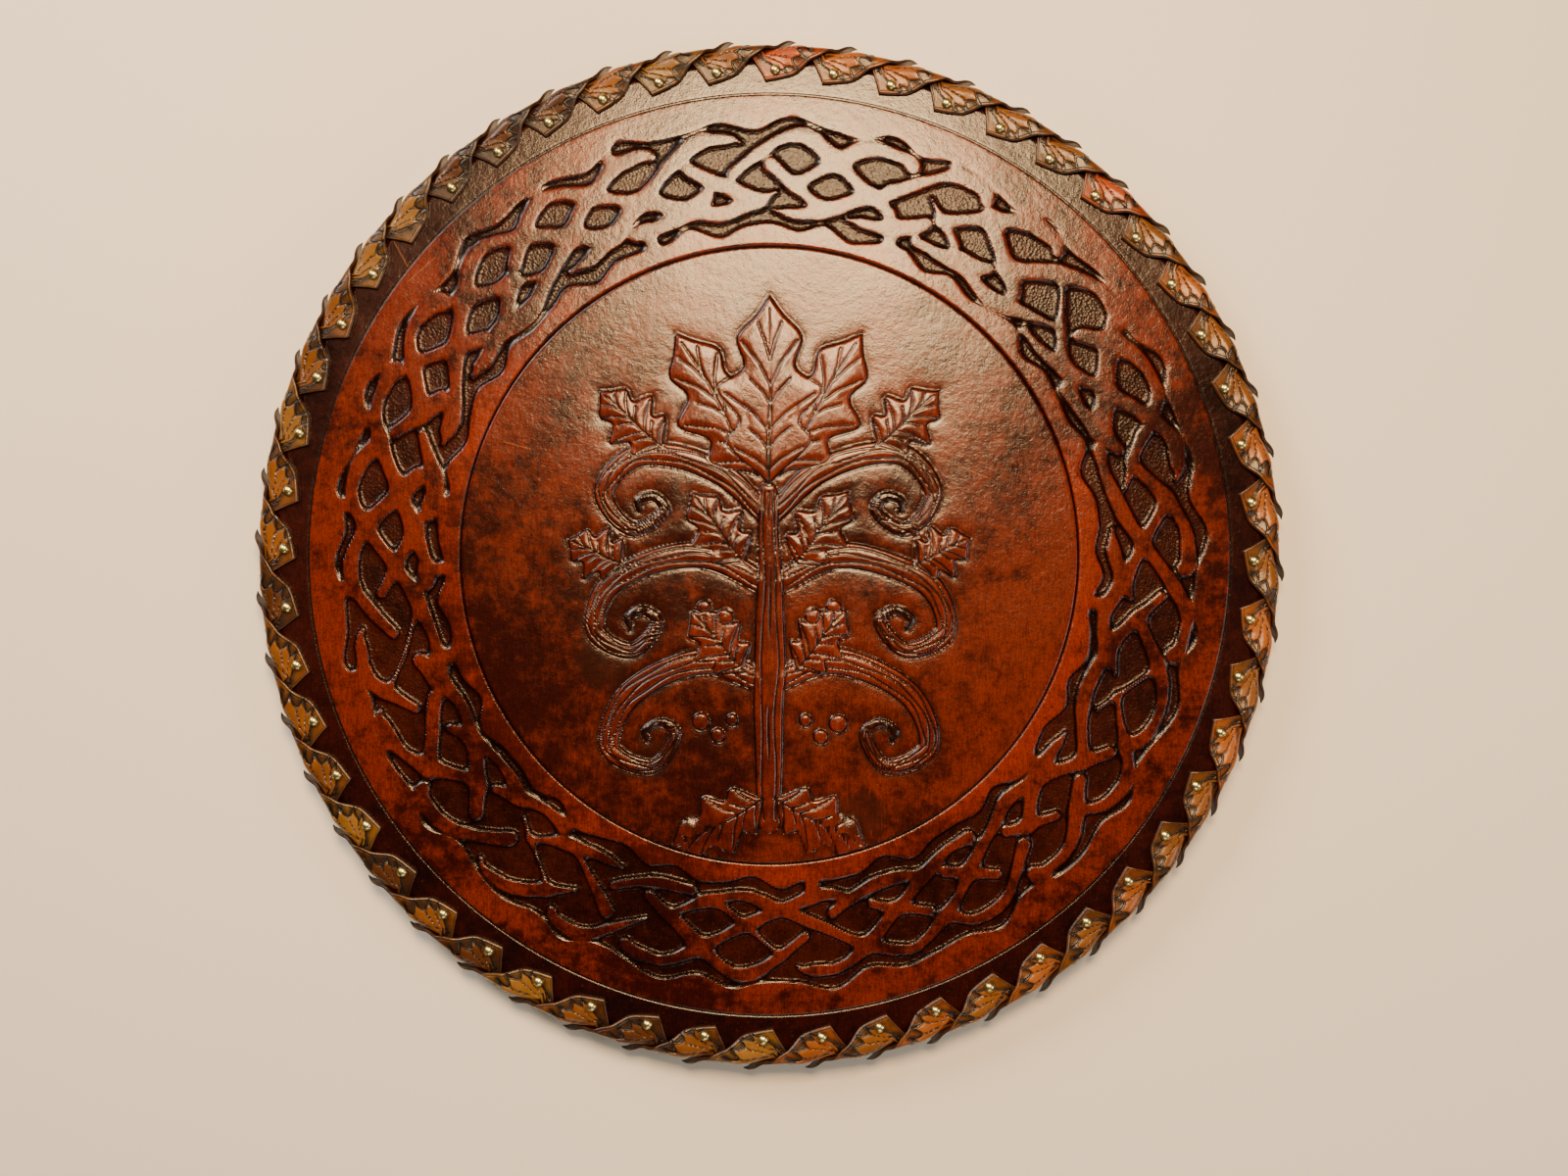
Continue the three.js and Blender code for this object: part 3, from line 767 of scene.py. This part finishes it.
def leather_grain_group():
    """Mottling, streaks, specks, creases and grain that every leather shares."""
    group = bpy.data.node_groups.new("leather_grain", "ShaderNodeTree")
    group.interface.new_socket("Vector", in_out="INPUT", socket_type="NodeSocketVector")
    group.interface.new_socket("Seed", in_out="INPUT", socket_type="NodeSocketFloat")
    for name in ("Mottle", "Streaks", "Specks", "Creases", "Fine", "Height"):
        group.interface.new_socket(name, in_out="OUTPUT", socket_type="NodeSocketFloat")
    start = group.nodes.new("NodeGroupInput")
    end = group.nodes.new("NodeGroupOutput")
    seed = start.outputs["Seed"]
    shift = add_node(group, "ShaderNodeCombineXYZ", {"X": seed, "Y": times(group, seed, 1.7)})
    place = vector(group, "ADD", start.outputs["Vector"], shift.outputs[0])
    mottle = noise(group, place, 95.0, 8.0, 0.72)
    patches = noise(group, place, 9.0, 5.0, 0.6)
    both = plus(group, times(group, mottle, 0.5), times(group, patches, 0.5))
    specks = noise(group, place, 340.0, 2.0, 0.5)
    creases = noise(group, place, 240.0, 5.0, 0.65)
    pores = add_node(group, "ShaderNodeTexVoronoi", {"Vector": place, "Scale": 900.0}).outputs["Distance"]
    stretched = add_node(group, "ShaderNodeMapping", {"Vector": place, "Scale": (9.0, 1.0, 1.0)})
    streaks = noise(group, stretched.outputs[0], 120.0, 3.0, 0.6)
    height = plus(group, times(group, pores, 0.5), times(group, mottle, 0.6))
    fine = noise(group, place, 900.0, 3.0, 0.7)
    for name, value in (("Mottle", both), ("Streaks", streaks), ("Specks", specks), ("Creases", creases),
                        ("Fine", fine), ("Height", height)):
        group.links.new(value, end.inputs[name])
    return group


def start_material(name, roughness, coat=0.0, metallic=0.0):
    material = bpy.data.materials.new(name)
    material.use_nodes = True
    tree = material.node_tree
    tree.nodes.clear()
    shader = add_node(tree, "ShaderNodeBsdfPrincipled", {"Roughness": roughness, "Metallic": metallic})
    shader.inputs["Coat Weight"].default_value = coat
    shader.inputs["Coat Roughness"].default_value = 0.25
    out = add_node(tree, "ShaderNodeOutputMaterial")
    tree.links.new(shader.outputs[0], out.inputs[0])
    place = add_node(tree, "ShaderNodeTexCoord").outputs["Object"]
    return material, tree, shader, place


def set_bump(tree, shader, height, distance, strength=1.0):
    bump = add_node(tree, "ShaderNodeBump", {"Height": height, "Distance": distance, "Strength": strength})
    tree.links.new(bump.outputs[0], shader.inputs["Normal"])


def far_from(tree, value, low, high):
    """1 where a distance is small, falling to 0."""
    return less(tree, 1.0, ramp_between(tree, value, low, high))


# Dyes of the facing: where the mottling starts and ends, the dark colour and the light one
BRIGHT_RED = (0.43, 0.57, (0.026, 0.002, 0.0002), (0.15, 0.015, 0.0008))
FIELD_RED = (0.42, 0.6, (0.026, 0.0022, 0.0002), (0.14, 0.0145, 0.0007))
INNER_RING_RED = (0.4, 0.58, (0.05, 0.004, 0.0003), (0.2, 0.018, 0.0008))
BORDER_BROWN = (0.38, 0.65, (0.008, 0.0008, 0.0002), (0.034, 0.003, 0.0004))
SUNK_BROWN = (0.4, 0.62, (0.011, 0.0013, 0.0003), (0.042, 0.0052, 0.001))
TREE_RED = (0.36, 0.64, (0.045, 0.004, 0.0003), (0.17, 0.018, 0.001))

# Wear on the face, in millimetres from its middle: (x, y, reach), and scratches from end to end
STAINS = ((-70, -118, 26), (55, -153, 34), (-98, -62, 40), (84, 60, 30))
SPECKLED = ((255, -59, 26), (195, -175, 24), (-60, 12, 30))
SCRATCHES = ((-212, 168, -222, 186), (-214, 160, -196, 176), (80, 66, 132, 44), (-158, 67, -139, 62))


def distance_from(tree, place, x, y):
    """The distance on the face from a point, in millimetres."""
    spot = (x * MM, y * MM, FACING_TOP * MM)
    return times(tree, vector(tree, "DISTANCE", place, spot, "Value"), 1000.0)


def scratch_mask(tree, place, start_x, start_y, end_x, end_y):
    """1 along a thin straight scratch."""
    along = Vector((end_x - start_x, end_y - start_y, 0))
    length = along.length
    along.normalize()
    offset = vector(tree, "SUBTRACT", place, (start_x * MM, start_y * MM, 0))
    run = vector(tree, "DOT_PRODUCT", offset, along, "Value")
    off = vector(tree, "DOT_PRODUCT", offset, (-along.y, along.x, 0), "Value")
    thin = far_from(tree, times(tree, calc(tree, "ABSOLUTE", off), 1000.0), 0.1, 0.45)
    middle = calc(tree, "ABSOLUTE", less(tree, times(tree, run, 1000.0), length / 2))
    return times(tree, thin, far_from(tree, middle, length * 0.35, length * 0.5))


def nearness(tree, place, spots):
    """1 at the middle of each spot, falling to 0 at its reach."""
    found = 0.0
    for x, y, reach in spots:
        found = larger(tree, found, far_from(tree, distance_from(tree, place, x, y), 0.0, reach))
    return found


def dyed(tree, mottle, dye):
    """A dye mottled between its dark and its light colour."""
    low, high, dark, light = dye
    return blend_colour(tree, ramp_between(tree, mottle, low, high), (*dark, 1), (*light, 1))


def facing_dye_and_shade(tree, mottle, radius, knot, leafy):
    """The dyes of the field, the tree, the rings and the sunk ground, one over the other, with painted shade
    in the ground just beside the tree.
    """
    on_tree = ramp_between(tree, leafy, -0.3, 0.3)
    colour = blend_colour(tree, on_tree, dyed(tree, mottle, FIELD_RED), dyed(tree, mottle, TREE_RED))
    # Painted shade in the sunk ground just beside the raised tree.
    beside_tree = far_from(tree, calc(tree, "ABSOLUTE", leafy), 0.2, 4.5)
    shade = times(tree, times(tree, beside_tree, 0.55), far_from(tree, leafy, -0.3, 0.3))
    colour = blend_colour(tree, shade, colour, (0.02, 0.005, 0.002, 1))
    for dye, start, end in ((INNER_RING_RED, INNER_CIRCLE - 0.3, INNER_CIRCLE + 0.3),
                            (BRIGHT_RED, 188.0, 200.0),
                            (BORDER_BROWN, OUTER_CIRCLE - 0.4, OUTER_CIRCLE + 0.4)):
        colour = blend_colour(tree, ramp_between(tree, radius, start, end), colour, dyed(tree, mottle, dye))
    return blend_colour(tree, far_from(tree, knot, -0.5, 0.2), colour, dyed(tree, mottle, SUNK_BROWN))


def facing_wear(tree, place, texture, colour):
    """Streaks, grain, stains, scratches and specks over the dyes."""
    streaks = ramp_between(tree, texture.outputs["Streaks"], 0.35, 0.7)
    colour = mix_in_colour(tree, colour, streaks, 0.75, (0.5, 0.38, 0.3), "MULTIPLY")
    fine = ramp_between(tree, texture.outputs["Fine"], 0.46, 0.68)
    colour = mix_in_colour(tree, colour, fine, 0.8, (0.4, 0.3, 0.25), "MULTIPLY")
    stained = plus(tree, times(tree, texture.outputs["Streaks"], 0.9), nearness(tree, place, STAINS))
    colour = mix_in_colour(tree, colour, ramp_between(tree, stained, 0.95, 1.2), 0.7, (0.02, 0.004, 0.0015))
    scraped = 0.0
    for ends in SCRATCHES:
        scraped = larger(tree, scraped, scratch_mask(tree, place, *ends))
    colour = mix_in_colour(tree, colour, scraped, 0.35, (0.4, 0.12, 0.03))
    crowd = times(tree, nearness(tree, place, SPECKLED), 0.12)
    specks = ramp_between(tree, plus(tree, texture.outputs["Specks"], crowd), 0.62, 0.72)
    return mix_in_colour(tree, colour, specks, 0.75, (0.03, 0.007, 0.003))


def facing_material(grain):
    material, tree, shader, place = start_material("tooled_red_leather", 0.3)
    texture = add_node(tree, "ShaderNodeGroup", {"Vector": place}, node_tree=grain)
    mottle = texture.outputs["Mottle"]
    split = add_node(tree, "ShaderNodeSeparateXYZ", {"Vector": place})
    flat = add_node(tree, "ShaderNodeCombineXYZ", {"X": split.outputs["X"], "Y": split.outputs["Y"]})
    radius = times(tree, vector(tree, "LENGTH", flat.outputs[0], output="Value"), 1000.0)
    knot, leafy, cut = (number_of(tree, name) for name in ("knot", "tree", "cut"))
    sunk = far_from(tree, knot, -0.5, 0.2)
    line = far_from(tree, cut, 0.25, 1.0)
    # A dark line on the lower wall of each band: burnished leather, partly painted shade in that crease.
    burnish_and_shade = far_from(tree, calc(tree, "ABSOLUTE", plus(tree, knot, 0.4)), 0.1, 0.7)
    for circle, _ in CIRCLE_CUTS:
        away = calc(tree, "ABSOLUTE", less(tree, radius, circle))
        line = larger(tree, line, far_from(tree, away, 0.3, 1.0))

    colour = facing_dye_and_shade(tree, mottle, radius, knot, leafy)
    colour = mix_in_colour(tree, colour, burnish_and_shade, 0.8, (0.005, 0.0012, 0.0006))
    colour = mix_in_colour(tree, colour, line, 0.93, (0.005, 0.0015, 0.0008))
    tree.links.new(facing_wear(tree, place, texture, colour), shader.inputs["Base Color"])

    pebbles = add_node(tree, "ShaderNodeTexVoronoi", {"Vector": place, "Scale": 620.0}).outputs["Distance"]
    height = times(tree, times(tree, pebbles, sunk), 0.2)
    for part, share in ((texture.outputs["Height"], 0.08), (texture.outputs["Creases"], 0.3),
                        (noise(tree, place, 15.0, 2.0, 0.5), 1.3),
                        (ramp_between(tree, knot, -0.3, 0.35), 0.4)):
        height = plus(tree, height, times(tree, part, share))
    set_bump(tree, shader, less(tree, height, times(tree, line, 0.32)), 0.0007)
    rough = add_node(tree, "ShaderNodeMapRange", {"Value": mottle, "From Min": 0.3, "From Max": 0.7,
                                                  "To Min": 0.16, "To Max": 0.24}).outputs["Result"]
    tree.links.new(plus(tree, rough, times(tree, sunk, 0.04)), shader.inputs["Roughness"])
    gleam = less(tree, 0.42, times(tree, sunk, 0.2))
    gleam = times(tree, gleam, less(tree, 1.0, times(tree, burnish_and_shade, 0.85)))
    tree.links.new(gleam, shader.inputs["Specular IOR Level"])
    return material


# The scales' tints, dark and light, and which of them each side of the shield draws from
SCALE_TINTS = (
    ((0.035, 0.01, 0.001, 1), (0.21, 0.072, 0.008, 1)),
    ((0.055, 0.012, 0.001, 1), (0.32, 0.09, 0.008, 1)),
    ((0.06, 0.008, 0.0008, 1), (0.34, 0.052, 0.003, 1)),
    ((0.01, 0.003, 0.0008, 1), (0.085, 0.025, 0.003, 1)),
    ((0.045, 0.018, 0.0025, 1), (0.25, 0.115, 0.018, 1)),
)
# Only the left half draws the darkest tint 3: painted shade on the side away from the light; the olive and
# orange hues are the scales' own.
LEFT_TINTS = (0, 3, 4, 0)
RIGHT_TINTS = (0, 1, 2, 1)


def scale_material(grain, index, low, high):
    material, tree, shader, place = start_material(f"scale_leather_{index}", 0.31)
    texture = add_node(tree, "ShaderNodeGroup", {"Vector": place, "Seed": index * 3.1}, node_tree=grain)
    mottle = texture.outputs["Mottle"]
    tool = number_of(tree, "tool")
    vein = number_of(tree, "vein")
    edge_and_shade = number_of(tree, "edge_and_underside_shade")
    colour = blend_colour(tree, ramp_between(tree, mottle, 0.36, 0.64), low, high)
    along = number_of(tree, "along")
    inward = number_of(tree, "inward")
    # Painted shade on each scale: darker towards its tip and horn, partly burnished there; darker on the rim
    # and the back, where the leather turns away from the light; darker at its base, under the neighbouring
    # scale.
    burnish_and_shade = times(tree, ramp_between(tree, along, 22.0, 50.0), 0.75)
    burnish_and_shade = larger(tree, burnish_and_shade, times(tree, far_from(tree, inward, -9.0, 1.0), 0.45))
    burnish_and_shade = larger(tree, burnish_and_shade, times(tree, far_from(tree, along, -4.0, 7.0), 0.5))
    # Random patches of darker dye, with the painted shade above worked in.
    patches_and_shade = calc(tree, "ADD", burnish_and_shade, times(tree, less(tree, mottle, 0.5), 1.3), True)
    colour = mix_in_colour(tree, colour, patches_and_shade, 0.8, (low[0] * 0.35, low[1] * 0.3, low[2] * 0.3))
    colour = mix_in_colour(tree, colour, ramp_between(tree, tool, -0.1, 0.6), 0.45, high)
    # Painted shade in the sunk leather just outside the tooled leaf.
    beside_leaf = far_from(tree, calc(tree, "ABSOLUTE", tool), 0.3, 3.4)
    shade = times(tree, beside_leaf, far_from(tree, tool, -0.2, 0.2))
    colour = mix_in_colour(tree, colour, shade, 0.9, (0.01, 0.006, 0.003))
    line = far_from(tree, calc(tree, "ABSOLUTE", tool), 0.1, 0.6)
    veins = times(tree, far_from(tree, vein, 0.25, 1.4), ramp_between(tree, tool, -0.1, 0.3))
    line = larger(tree, line, veins)
    along_edge = calc(tree, "ABSOLUTE", less(tree, number_of(tree, "margin"), 2.1))
    line = larger(tree, line, times(tree, far_from(tree, along_edge, 0.05, 0.45), 0.6))
    # A dark ring round each nail: painted shadow under the domed nail head, with some grime; where the nail
    # is lost, a dark imprint of its head.
    to_nail = calc(tree, "POWER", less(tree, along, NAIL_ALONG), 2.0)
    to_nail = plus(tree, to_nail, calc(tree, "POWER", less(tree, inward, NAIL_INWARD), 2.0))
    to_nail = calc(tree, "SQRT", to_nail)
    colour = mix_in_colour(tree, colour, far_from(tree, to_nail, 2.6, 5.2), 0.6, (0.02, 0.008, 0.004))
    line = larger(tree, line, far_from(tree, to_nail, 0.8, 1.4))
    colour = mix_in_colour(tree, colour, line, 0.92, (0.006, 0.0025, 0.0015))
    # Dark cut edges and a dark underside: edge dye with painted shadow along the edges, and painted shade
    # over the underside.
    colour = blend_colour(tree, ramp_between(tree, edge_and_shade, 0.2, 0.8), colour, (0.035, 0.014, 0.007, 1))
    tree.links.new(colour, shader.inputs["Base Color"])
    height = less(tree, times(tree, texture.outputs["Height"], 0.16), times(tree, line, 0.8))
    set_bump(tree, shader, height, 0.0006)
    shader.inputs["Specular IOR Level"].default_value = 0.4
    return material


def plain_leather(grain, name, low, high):
    material, tree, shader, place = start_material(name, 0.5, coat=0.1)
    texture = add_node(tree, "ShaderNodeGroup", {"Vector": place}, node_tree=grain)
    colour = blend_colour(tree, ramp_between(tree, texture.outputs["Mottle"], 0.35, 0.65), low, high)
    tree.links.new(colour, shader.inputs["Base Color"])
    set_bump(tree, shader, texture.outputs["Height"], 0.0003)
    return material


def brass_material():
    material, tree, shader, place = start_material("worn_brass", 0.3, metallic=1.0)
    wear = noise(tree, place, 300.0, 3.0)
    worn = ramp_between(tree, wear, 0.4, 0.7)
    colour = blend_colour(tree, worn, (0.84, 0.74, 0.33, 1), (0.6, 0.48, 0.17, 1))
    tree.links.new(colour, shader.inputs["Base Color"])
    return material


def wood_material():
    """Grain that runs along each plank and starts anew on the next one."""
    material, tree, shader, place = start_material("oiled_boards", 0.55)
    split = add_node(tree, "ShaderNodeSeparateXYZ", {"Vector": place})
    plank = calc(tree, "DIVIDE", split.outputs["X"], PLANK_WIDTH * MM)
    plank = calc(tree, "FLOOR", plus(tree, plank, 0.5))
    moved = add_node(tree, "ShaderNodeCombineXYZ", {
        "X": split.outputs["X"], "Y": plus(tree, split.outputs["Y"], times(tree, plank, 3.7)),
        "Z": times(tree, plank, 1.3)})
    stretched = add_node(tree, "ShaderNodeMapping", {"Vector": moved.outputs[0], "Scale": (26.0, 1.6, 26.0)})
    grain = noise(tree, stretched.outputs[0], 3.0, 7.0, 0.65)
    fine = noise(tree, stretched.outputs[0], 26.0, 4.0, 0.6)
    late_wood = ramp_between(tree, grain, 0.35, 0.65)
    colour = blend_colour(tree, late_wood, (0.13, 0.06, 0.025, 1), (0.36, 0.2, 0.095, 1))
    colour = mix_in_colour(tree, colour, fine, 0.45, (0.35, 0.25, 0.17), "MULTIPLY")
    tree.links.new(colour, shader.inputs["Base Color"])
    set_bump(tree, shader, plus(tree, grain, times(tree, fine, 0.4)), 0.0006)
    return material


# Straps on the back
def soften_edges(piece, width, segments):
    bevel = piece.modifiers.new("soft edges", "BEVEL")
    bevel.width = width * MM
    bevel.segments = segments
    bpy.ops.object.modifier_apply(modifier=bevel.name)


def make_strap(name, node, material, brass):
    """A strap with rounded corners and soft edges, held by two rivets at each end."""
    low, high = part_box(node)
    middle = (low + high) / 2
    rivet = RIVET_RISE * MM
    rivet_depth = rivet + 1 * MM
    size = high - low
    deselect()
    thickness = size.z - rivet
    bpy.ops.mesh.primitive_cube_add(size=1, location=(middle.x, middle.y, high.z - thickness / 2),
                                    scale=(size.x, size.y, thickness))
    strap = bpy.context.object
    strap.name = name
    bpy.ops.object.transform_apply()
    heights = [vertex.co.z for vertex in strap.data.vertices]
    upright = [edge.index for edge in strap.data.edges
               if abs(heights[edge.vertices[0]] - heights[edge.vertices[1]]) > 1e-4]
    bpy.ops.object.mode_set(mode="EDIT")
    bpy.ops.mesh.select_mode(type="EDGE")
    bpy.ops.mesh.select_all(action="DESELECT")
    bpy.ops.object.mode_set(mode="OBJECT")
    for index in upright:
        strap.data.edges[index].select = True
    bpy.ops.object.mode_set(mode="EDIT")
    bpy.ops.mesh.bevel(offset=STRAP_CORNER * MM, segments=6)
    bpy.ops.mesh.select_all(action="SELECT")
    bpy.ops.object.mode_set(mode="OBJECT")
    soften_edges(strap, 0.5, 2)
    finish_piece(strap, material, "dark_leather", node)
    for side in (-1, 1):
        for row in (-1, 1):
            bpy.ops.mesh.primitive_cylinder_add(
                vertices=20, radius=RIVET_RADIUS * MM, depth=rivet_depth,
                location=(middle.x + side * (size.x / 2 - RIVET_INSET * MM),
                          middle.y + row * RIVET_INSET * MM, low.z + rivet_depth / 2))
            head = bpy.context.object
            head.name = f"{name}_rivet_{'l' if side < 0 else 'r'}{'b' if row < 0 else 't'}"
            bpy.ops.object.transform_apply()
            soften_edges(head, 0.6, 3)
            finish_piece(head, brass, "brass")


def stitch_strap(name, node, material):
    """A row of short stitches along each long edge of a strap."""
    low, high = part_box(node)
    level = low.z / MM + RIVET_RISE
    deselect()
    bpy.ops.mesh.primitive_uv_sphere_add(segments=8, ring_count=6, radius=1.0)
    pattern = bpy.context.object
    shape = np.array([vertex.co for vertex in pattern.data.vertices])
    faces = [tuple(face.vertices) for face in pattern.data.polygons]
    bpy.data.objects.remove(pattern)
    verts, all_faces = [], []
    left, right = low.x / MM + 8, high.x / MM - 8
    for y in (low.y / MM + 3.2, high.y / MM - 3.2):
        for x in np.arange(left, right, 5.2):
            start = len(verts) * len(shape)
            verts.append(shape * (1.9, 0.5, 0.45) + (x + 1.9, y, level))
            all_faces += [tuple(start + corner for corner in one) for one in faces]
    finish_piece(new_piece(name, np.vstack(verts), all_faces), material, "tan_leather")


# Floor, light and camera
# Each lamp: its name, place, size, power in watts and colour, aimed at the shield's middle
LAMPS = (
    ("window", (0.05, 0.57, 1.5), (0.5, 0.4), 44, (1.0, 0.63, 0.31)),
    ("key", (-1.2, 1.1, 1.25), (0.8, 0.8), 31, (1.0, 0.93, 0.82)),
    ("right", (1.7, -0.4, 1.3), (0.8, 0.8), 12, (1.0, 0.93, 0.82)),
    ("front", (0.2, -1.7, 1.0), (1.2, 0.5), 6, (1.0, 0.92, 0.8)),
)


def make_stage():
    deselect()
    bpy.ops.mesh.primitive_plane_add(size=8, location=(0, 0, -0.0005))
    floor = bpy.context.object
    floor.name = "floor"
    material, _, shader, _ = start_material("pale_floor", 0.7)
    shader.inputs["Base Color"].default_value = (0.9, 0.84, 0.74, 1)
    floor.data.materials.append(material)
    world = bpy.data.worlds.new("studio")
    bpy.context.scene.world = world
    world.use_nodes = True
    world.node_tree.nodes["Background"].inputs[0].default_value = (1.0, 0.93, 0.84, 1)
    seen = add_node(world.node_tree, "ShaderNodeLightPath").outputs["Is Camera Ray"]
    bright = plus(world.node_tree, 0.05, times(world.node_tree, seen, 0.6))
    world.node_tree.links.new(bright, world.node_tree.nodes["Background"].inputs[1])

    for name, place, size, power, colour in LAMPS:
        light = bpy.data.lights.new(name, "AREA")
        light.shape = "RECTANGLE"
        light.size, light.size_y = size
        light.energy = power
        light.color = colour
        lamp = put_in_scene(name, light)
        lamp.location = place
        lamp.rotation_euler = (-Vector(place)).to_track_quat("-Z", "Y").to_euler()


# The photo's size in pixels, and where the shield stands in it
PHOTO_WIDTH, PHOTO_HEIGHT = 1600, 1200
SHIELD_MIDDLE = (785, 566)
SHIELD_ACROSS = 1062
VIEW_WIDTH = math.radians(52)


def make_camera():
    """A camera straight above, so that the shield stands in the picture as in the photo."""
    data = bpy.data.cameras.new("camera")
    data.sensor_fit = "HORIZONTAL"
    data.angle = VIEW_WIDTH
    camera = put_in_scene("camera", data)
    per_pixel = (cad_high.x - cad_low.x) / SHIELD_ACROSS
    distance = PHOTO_WIDTH / 2 / math.tan(VIEW_WIDTH / 2) * per_pixel
    x = (PHOTO_WIDTH / 2 - SHIELD_MIDDLE[0]) * per_pixel
    y = -(PHOTO_HEIGHT / 2 - SHIELD_MIDDLE[1]) * per_pixel
    camera.location = (x, y, cad_high.z + distance)
    data.clip_start = 0.01
    bpy.context.scene.camera = camera


# The whole shield
grain = leather_grain_group()
brass = brass_material()
strap_leather = plain_leather(grain, "dark_strap_leather", (0.03, 0.013, 0.007, 1), (0.08, 0.035, 0.018, 1))
red_leather = facing_material(grain)
for part in make_facing():
    finish_piece(part, red_leather, "red_leather", "leather_facing")
tints = [scale_material(grain, index, dark, light) for index, (dark, light) in enumerate(SCALE_TINTS)]
draw = random.Random(7)
for scale_index in range(1, SCALE_COUNT + 1):
    scale = make_scale(scale_index)
    side = LEFT_TINTS if scale_index > SCALE_COUNT / 2 else RIGHT_TINTS
    finish_piece(scale, tints[draw.choice(side)], "tan_leather", f"edge_scale_{scale_index:02d}")
make_nails(brass)
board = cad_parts["board"]
board.data.materials.clear()
board.data.materials.append(wood_material())
make_strap("arm_strap_leather", "arm_strap", strap_leather, brass)
make_strap("hand_strap_leather", "hand_strap", strap_leather, brass)
thread = plain_leather(grain, "waxed_thread", (0.42, 0.32, 0.18, 1), (0.6, 0.48, 0.3, 1))
stitch_strap("arm_strap_stitching", "arm_strap", thread)
stitch_strap("hand_strap_stitching", "hand_strap", thread)
make_stage()
make_camera()
